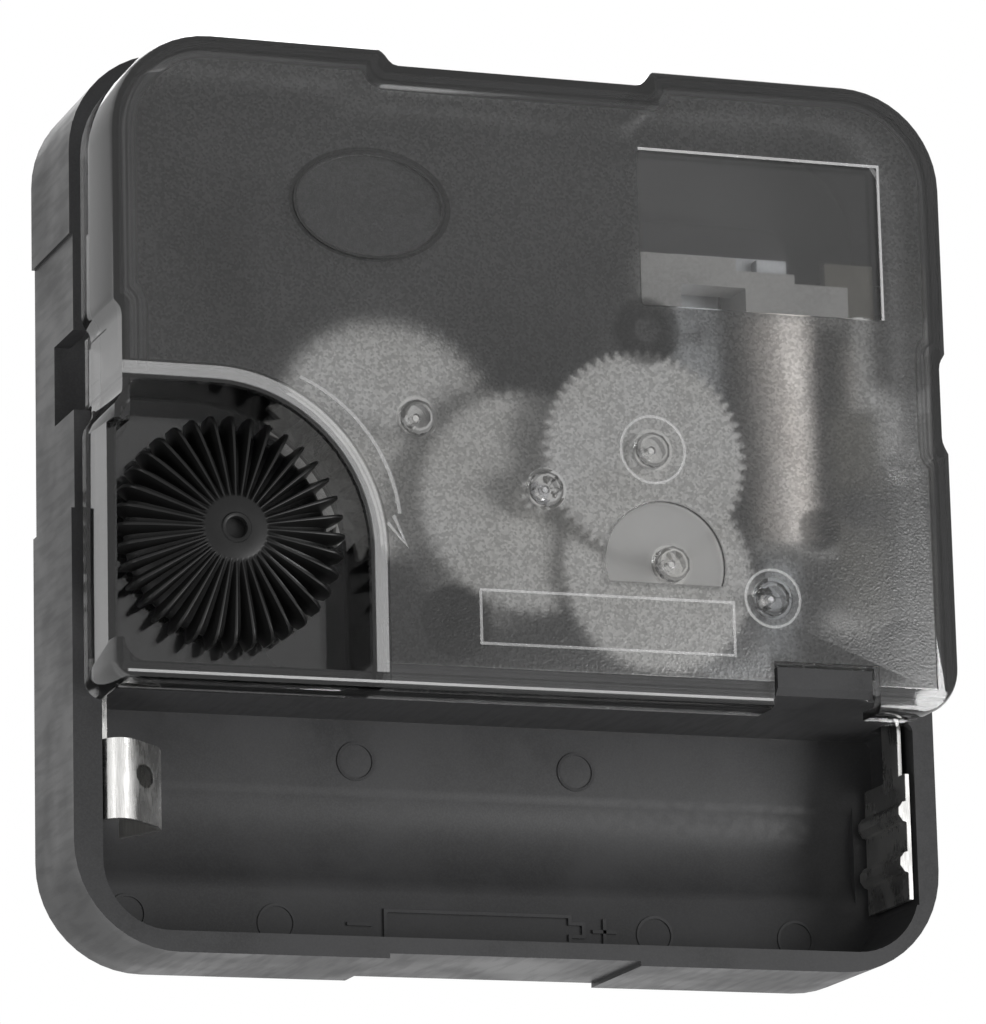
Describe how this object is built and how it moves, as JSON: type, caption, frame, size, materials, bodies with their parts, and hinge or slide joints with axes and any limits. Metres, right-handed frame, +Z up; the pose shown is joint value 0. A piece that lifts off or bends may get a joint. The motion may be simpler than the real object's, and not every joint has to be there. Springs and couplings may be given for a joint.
{
  "type": "quartz clock movement",
  "caption": "Square battery clock movement with a see-through rear cover, hand-setting knob, open battery bay and concentric shafts for hour, minute and seconds hands.",
  "frame": {"origin": "on the axis of the hand shafts, in the plane of the flat dial face", "axes": "+Y along the hand shafts out of the dial face, +Z up towards the side opposite the battery bay, +X to the right as seen from behind the clock"},
  "size_m": [0.056, 0.0334, 0.056],
  "materials": {
    "case_plastic": "moulded black plastic with a fine satin grain",
    "cover_smoke": "smoky see-through plastic, frosted by fine texture with smooth margins",
    "knob_plastic": "moulded black plastic",
    "gear_plastic": "off-white acetal",
    "inner_plastic": "moulded dark grey plastic",
    "brass": "turned brass",
    "steel": "bright steel",
    "nickel": "nickel-plated strip, softly brushed",
    "soft_iron": "stamped soft iron, dull",
    "ferrite": "pressed magnet",
    "bobbin_plastic": "white plastic",
    "enamelled_wire": "fine enamelled copper wire, wound in layers",
    "board_laminate": "brown phenolic board",
    "epoxy": "black epoxy"
  },
  "bodies": {
    "housing": {"front_case": "case_plastic", "rear_cover": "cover_smoke", "threaded_bush": "brass", "middle_plate": "inner_plastic", "stator": "soft_iron", "coil_core": "soft_iron", "coil_bobbin": "bobbin_plastic", "coil_winding": "enamelled_wire", "circuit_board": "board_laminate", "chip_cap": "epoxy", "quartz_crystal": "nickel", "negative_contact": "nickel", "positive_contact": "nickel"},
    "knob": {"setting_knob": "knob_plastic", "setting_wheel": "knob_plastic"},
    "minute_work": {"minute_wheel": "gear_plastic"},
    "minute_tube": {"cannon_pinion": "steel"},
    "hour_tube": {"hour_wheel": "inner_plastic"},
    "seconds": {"seconds_wheel": "gear_plastic", "seconds_arbor": "steel"},
    "intermediate": {"intermediate_wheel": "gear_plastic"},
    "rotor": {"rotor_pinion": "steel", "rotor_magnet": "ferrite"},
    "third": {"third_wheel": "gear_plastic"},
    "centre": {"centre_wheel": "gear_plastic"}
  },
  "joints": [
    {"name": "knob_turn", "type": "hinge", "parent": "housing", "child": "knob", "pos_m": [-0.01926, 0, -0.0031], "axis": [0, -1, 0], "continuous": true},
    {"name": "minute_work_turn", "type": "hinge", "parent": "housing", "child": "minute_work", "pos_m": [-0.0082, 0, 0.004], "axis": [0, -1, 0], "continuous": true},
    {"name": "minute_tube_turn", "type": "hinge", "parent": "housing", "child": "minute_tube", "pos_m": [0, 0, 0], "axis": [0, -1, 0], "continuous": true},
    {"name": "hour_tube_turn", "type": "hinge", "parent": "housing", "child": "hour_tube", "pos_m": [0, 0, 0], "axis": [0, -1, 0], "continuous": true},
    {"name": "seconds_turn", "type": "hinge", "parent": "housing", "child": "seconds", "pos_m": [0, 0, 0], "axis": [0, -1, 0], "continuous": true},
    {"name": "intermediate_turn", "type": "hinge", "parent": "housing", "child": "intermediate", "pos_m": [0.0081, 0, -0.00425], "axis": [0, -1, 0], "continuous": true},
    {"name": "rotor_turn", "type": "hinge", "parent": "housing", "child": "rotor", "pos_m": [0.0146, 0, -0.0061], "axis": [0, -1, 0], "continuous": true},
    {"name": "third_turn", "type": "hinge", "parent": "housing", "child": "third", "pos_m": [0.007, 0, 0.00285], "axis": [0, -1, 0], "continuous": true},
    {"name": "centre_turn", "type": "hinge", "parent": "housing", "child": "centre", "pos_m": [0, 0, 0], "axis": [0, -1, 0], "continuous": true}
  ],
  "couplings": [
    {"joint": "minute_work_turn", "follows": "knob_turn", "ratio": -0.8},
    {"joint": "minute_tube_turn", "follows": "knob_turn", "ratio": 3.2},
    {"joint": "hour_tube_turn", "follows": "knob_turn", "ratio": 0.26667},
    {"joint": "intermediate_turn", "follows": "seconds_turn", "ratio": -3},
    {"joint": "rotor_turn", "follows": "seconds_turn", "ratio": 30},
    {"joint": "third_turn", "follows": "seconds_turn", "ratio": -0.16667},
    {"joint": "centre_turn", "follows": "seconds_turn", "ratio": 0.016667}
  ]
}
